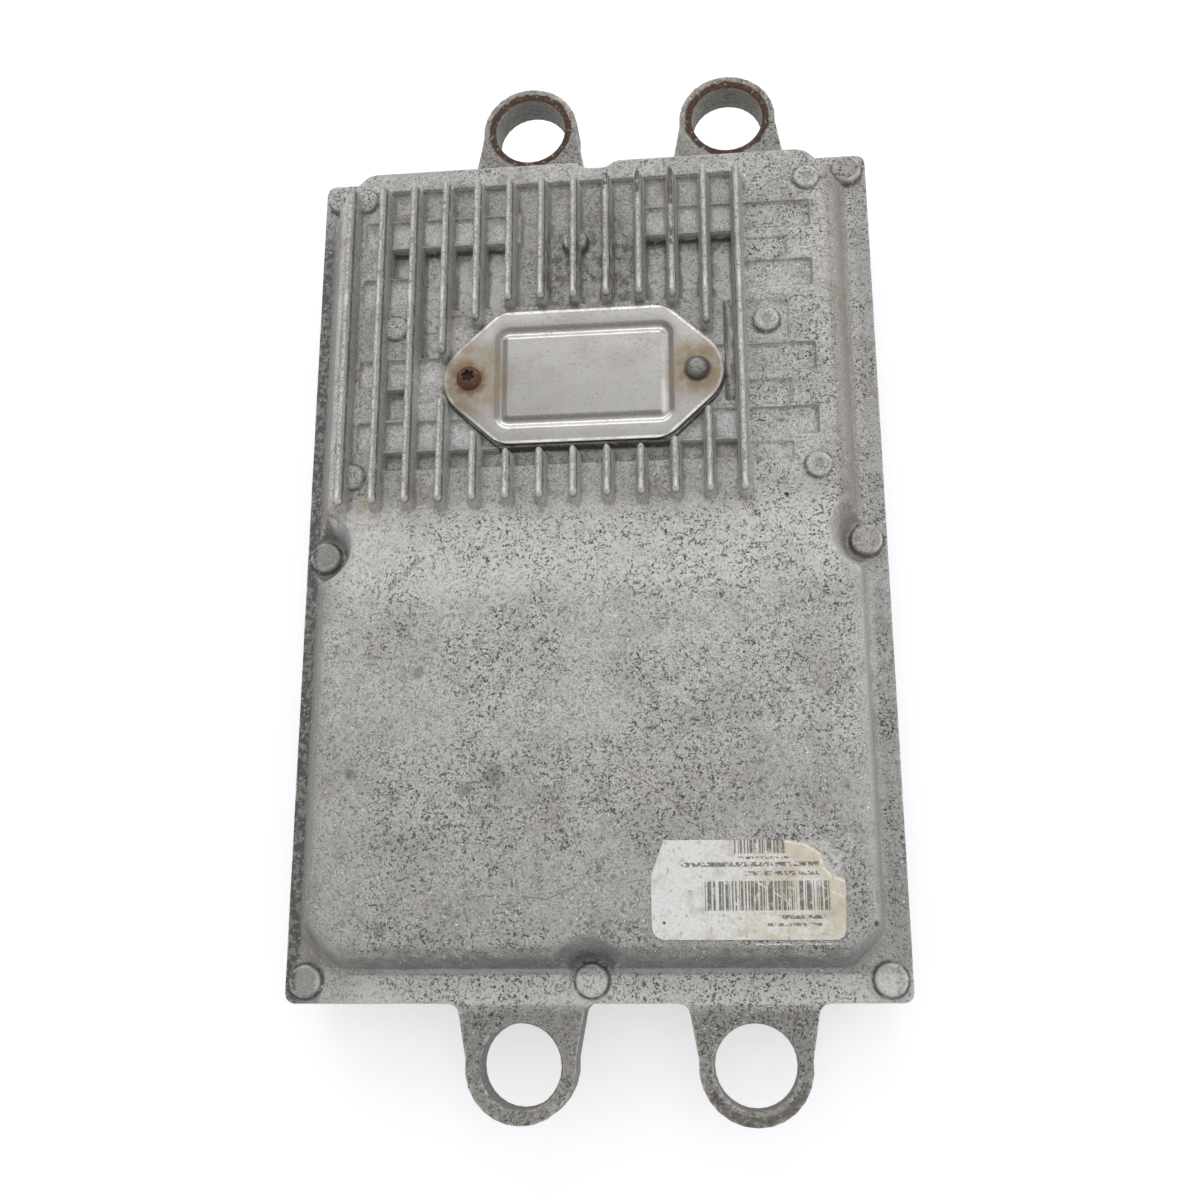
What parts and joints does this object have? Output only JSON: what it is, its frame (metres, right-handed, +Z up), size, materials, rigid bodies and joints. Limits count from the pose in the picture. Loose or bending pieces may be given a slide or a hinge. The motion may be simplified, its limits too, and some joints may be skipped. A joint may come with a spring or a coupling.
{
  "type": "fuel injection control module",
  "caption": "Die-cast fuel injection control module: finned aluminium housing with a bolted access cover, four mounting ears, a base cover with connector sockets, and its boards inside.",
  "frame": {"origin": "centre of the base cover's lowest face, on the surface that the module lies on", "axes": "+Z up through the fins, +Y towards the finned end, +X across the housing to the side with the label"},
  "size_m": [0.17, 0.3138, 0.0515],
  "materials": {
    "cast_aluminium": "die-cast, weathered and pitted",
    "cast_aluminium_cover": "die-cast",
    "plated_sheet": "pressed plated sheet, stained at both ends",
    "zinc_plated_steel": "zinc plated, partly rusted",
    "black_rubber": "moulded",
    "black_plastic": "moulded",
    "green_laminate": "glass-fibre laminate with solder mask",
    "capacitor_sleeve": "shrink sleeve",
    "coil_copper": "enamelled copper",
    "label_paper": "worn plain paper"
  },
  "bodies": {
    "root": {"finned_housing": "cast_aluminium", "base_cover": "cast_aluminium_cover", "housing_gasket": "black_rubber", "access_cover": "plated_sheet", "access_cover_gasket": "black_rubber", "access_cover_screw_1": "zinc_plated_steel", "access_cover_screw_2": "zinc_plated_steel", "base_cover_screw_1": "zinc_plated_steel", "base_cover_screw_2": "zinc_plated_steel", "base_cover_screw_3": "zinc_plated_steel", "base_cover_screw_4": "zinc_plated_steel", "base_cover_screw_5": "zinc_plated_steel", "base_cover_screw_6": "zinc_plated_steel", "base_cover_screw_7": "zinc_plated_steel", "driver_board": "green_laminate", "logic_board": "green_laminate", "driver_board_screw_1": "zinc_plated_steel", "driver_board_screw_2": "zinc_plated_steel", "driver_board_screw_3": "zinc_plated_steel", "driver_board_screw_4": "zinc_plated_steel", "driver_board_screw_5": "zinc_plated_steel", "driver_board_screw_6": "zinc_plated_steel", "driver_board_screw_7": "zinc_plated_steel", "logic_board_screw_1": "zinc_plated_steel", "logic_board_screw_2": "zinc_plated_steel", "logic_board_screw_3": "zinc_plated_steel", "logic_board_screw_4": "zinc_plated_steel", "power_transistor_1": "black_plastic", "power_transistor_2": "black_plastic", "power_transistor_3": "black_plastic", "power_transistor_4": "black_plastic", "power_transistor_5": "black_plastic", "power_transistor_6": "black_plastic", "power_transistor_7": "black_plastic", "power_transistor_8": "black_plastic", "storage_capacitor_1": "capacitor_sleeve", "storage_capacitor_2": "capacitor_sleeve", "storage_capacitor_3": "capacitor_sleeve", "storage_capacitor_4": "capacitor_sleeve", "boost_coil_1": "coil_copper", "boost_coil_2": "coil_copper", "processor": "black_plastic", "board_link": "black_plastic", "connector_header_left": "black_plastic", "connector_header_middle": "black_plastic", "connector_header_right": "black_plastic", "paper_label": "label_paper"}
  },
  "joints": []
}
